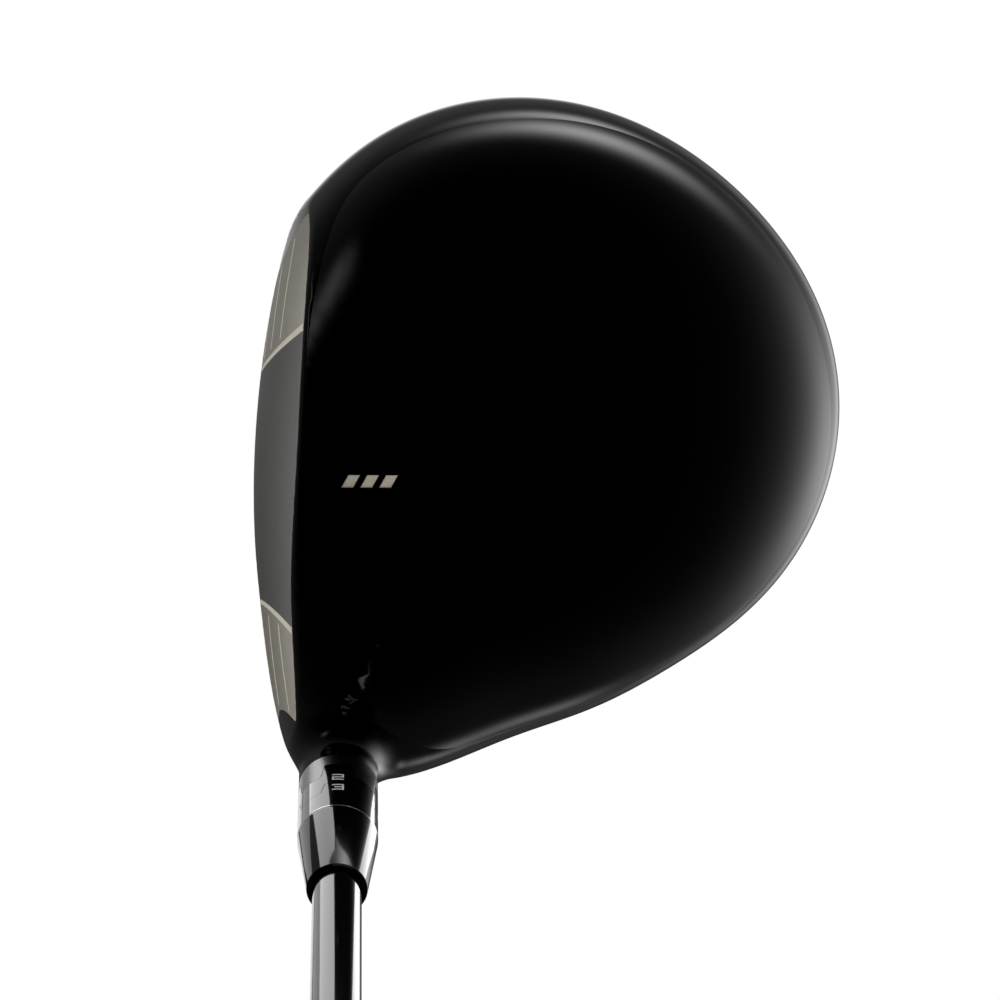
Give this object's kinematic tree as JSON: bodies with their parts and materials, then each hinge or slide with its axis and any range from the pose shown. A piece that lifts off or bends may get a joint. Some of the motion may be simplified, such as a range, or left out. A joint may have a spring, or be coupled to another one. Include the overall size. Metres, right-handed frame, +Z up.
{
  "type": "golf driver",
  "caption": "Adjustable-hosel golf driver: hollow rounded head with a curved face, castellated setting ring and sleeve, tapered ferrule, long tapered shaft and rubber grip.",
  "frame": {"origin": "centre of the flat pad on the sole that the club rests on at address", "axes": "+Z up from the ground, -Y towards the target (the way the face points), +Y to the back of the head, +X to the heel, shaft and grip, -X to the toe"},
  "size_m": [0.7145, 0.111, 0.9912],
  "materials": {
    "body_black": "gloss black lacquer over titanium",
    "face_champagne": "satin champagne-grey coating, brushed",
    "face_line": "satin pale gold fill",
    "crown_mark": "satin champagne paint",
    "hosel_metal": "satin machined titanium",
    "anodised_black": "bright black anodised",
    "print_white": "white print",
    "trim_bright": "polished",
    "ferrule_black": "polished black",
    "shaft_black": "clear-coated black carbon fibre",
    "grip_rubber": "textured black rubber",
    "cap_rubber": "smooth black rubber",
    "grip_tape": "double-sided paper tape",
    "screw_steel": "black-oxide steel",
    "weight_metal": "satin tungsten alloy"
  },
  "bodies": {
    "shaft_assembly": {"shaft_sleeve": "anodised_black", "sleeve_numerals": "print_white", "ferrule_trim": "trim_bright", "ferrule": "ferrule_black", "shaft": "shaft_black", "grip_tape": "grip_tape", "grip": "grip_rubber", "grip_cap": "cap_rubber"},
    "setting_ring": {"setting_ring": "anodised_black", "ring_numerals": "print_white"},
    "head": {"body_shell": "body_black", "crown_shell": "body_black", "crown_mark": "crown_mark", "face_plate": "face_champagne", "face_zone_lines": "face_line", "face_score_lines": "face_line", "hosel_tube": "hosel_metal", "weight_boss": "body_black"},
    "screw_washer": {"screw_washer": "screw_steel"},
    "hosel_screw": {"hosel_screw": "screw_steel"},
    "rear_weight": {"rear_weight": "weight_metal"},
    "rear_weight_screw": {"rear_weight_screw": "screw_steel"}
  },
  "joints": [
    {"name": "ring_release", "type": "slide", "parent": "shaft_assembly", "child": "setting_ring", "axis": [-0.5225, 0, -0.8526], "range_m": [0, 0.03]},
    {"name": "head_release", "type": "slide", "parent": "setting_ring", "child": "head", "axis": [-0.5225, 0, -0.8526], "range_m": [0, 0.045]},
    {"name": "hosel_screw_travel", "type": "slide", "parent": "head", "child": "screw_washer", "axis": [-0.5225, 0, -0.8526], "range_m": [0, 0.0064]},
    {"name": "hosel_screw_turn", "type": "hinge", "parent": "screw_washer", "child": "hosel_screw", "pos_m": [0.03689, -0.0285, 0.01596], "axis": [-0.5225, 0, -0.8526], "range_deg": [0, 2880]},
    {"name": "weight_travel", "type": "slide", "parent": "head", "child": "rear_weight", "axis": [0, 0.4392, -0.8984], "range_m": [0, 0.006]},
    {"name": "weight_screw_turn", "type": "hinge", "parent": "rear_weight", "child": "rear_weight_screw", "pos_m": [-0.008, 0.049, 0.0102], "axis": [0, 0.4392, -0.8984], "range_deg": [0, 2700]}
  ],
  "couplings": [
    {"joint": "hosel_screw_turn", "follows": "hosel_screw_travel", "rad_per_m": 7854},
    {"joint": "weight_screw_turn", "follows": "weight_travel", "rad_per_m": 7854}
  ]
}
